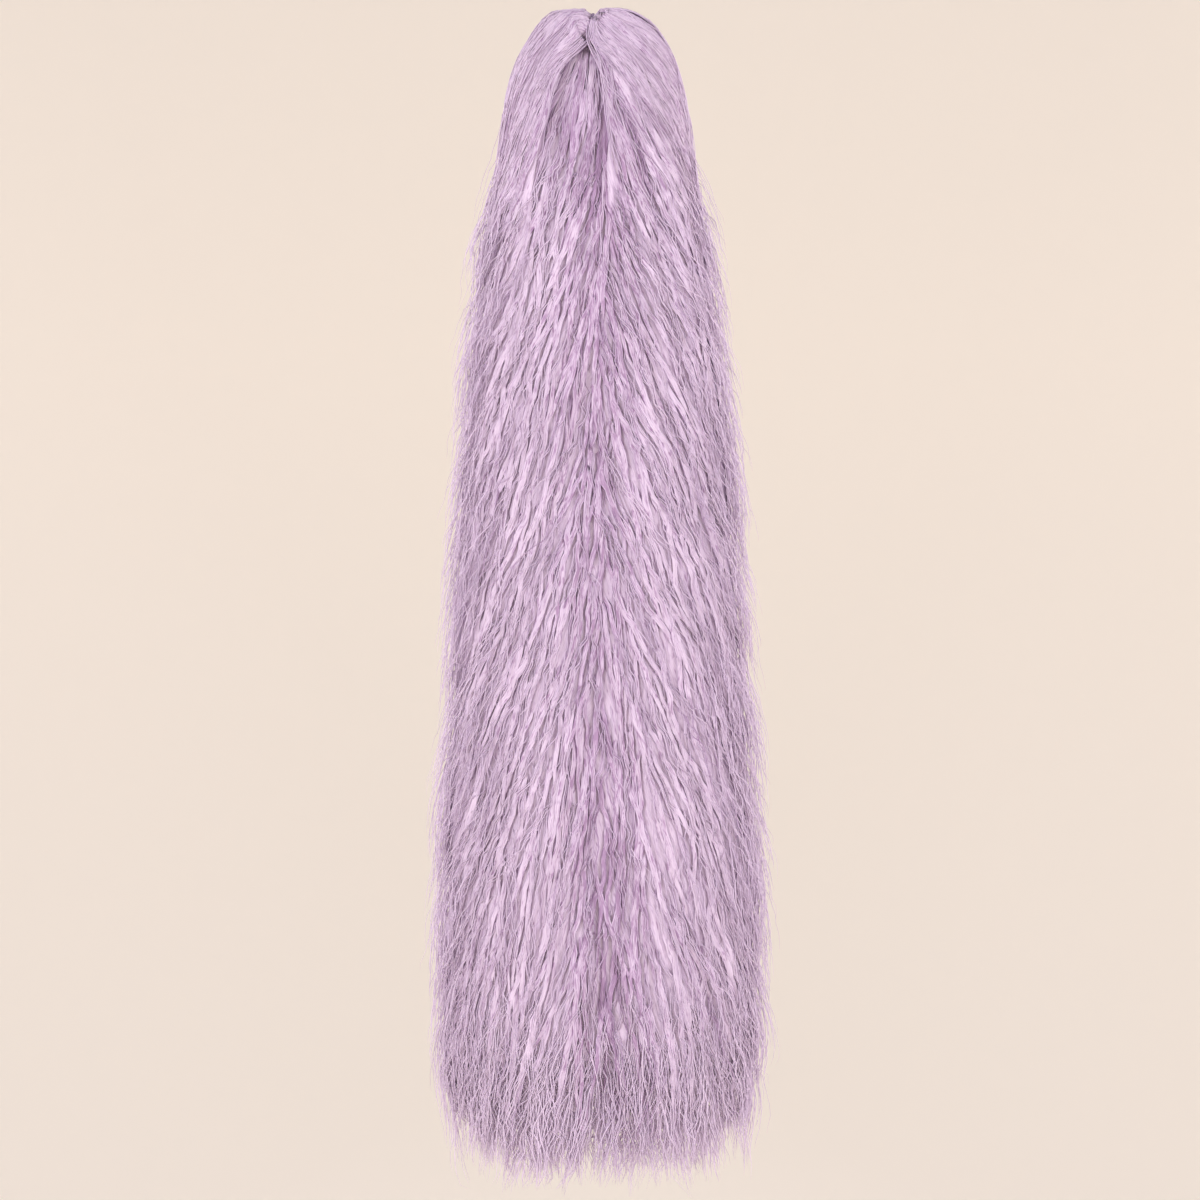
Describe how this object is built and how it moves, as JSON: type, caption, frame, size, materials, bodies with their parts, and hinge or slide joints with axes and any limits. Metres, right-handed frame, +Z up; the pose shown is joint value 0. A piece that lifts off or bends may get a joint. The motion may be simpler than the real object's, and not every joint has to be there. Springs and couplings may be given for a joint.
{
  "type": "jumbo braiding hair",
  "caption": "Hank of crimped pastel lilac synthetic hair, tied at its middle so that it arches out of the tie and hangs in long falls side by side, for braiding.",
  "frame": {"origin": "top of the tie round the middle of the hank, where it hangs", "axes": "+Z up along the falls, +X to the right of someone looking at the front, -Y towards them"},
  "size_m": [0.1724, 0.066, 0.61],
  "materials": {
    "fibre": "satin",
    "elastic": "matte"
  },
  "bodies": {
    "root": {"left_fall": "fibre", "right_fall": "fibre", "middle_fall": "fibre", "hair_tie": "elastic"}
  },
  "joints": []
}
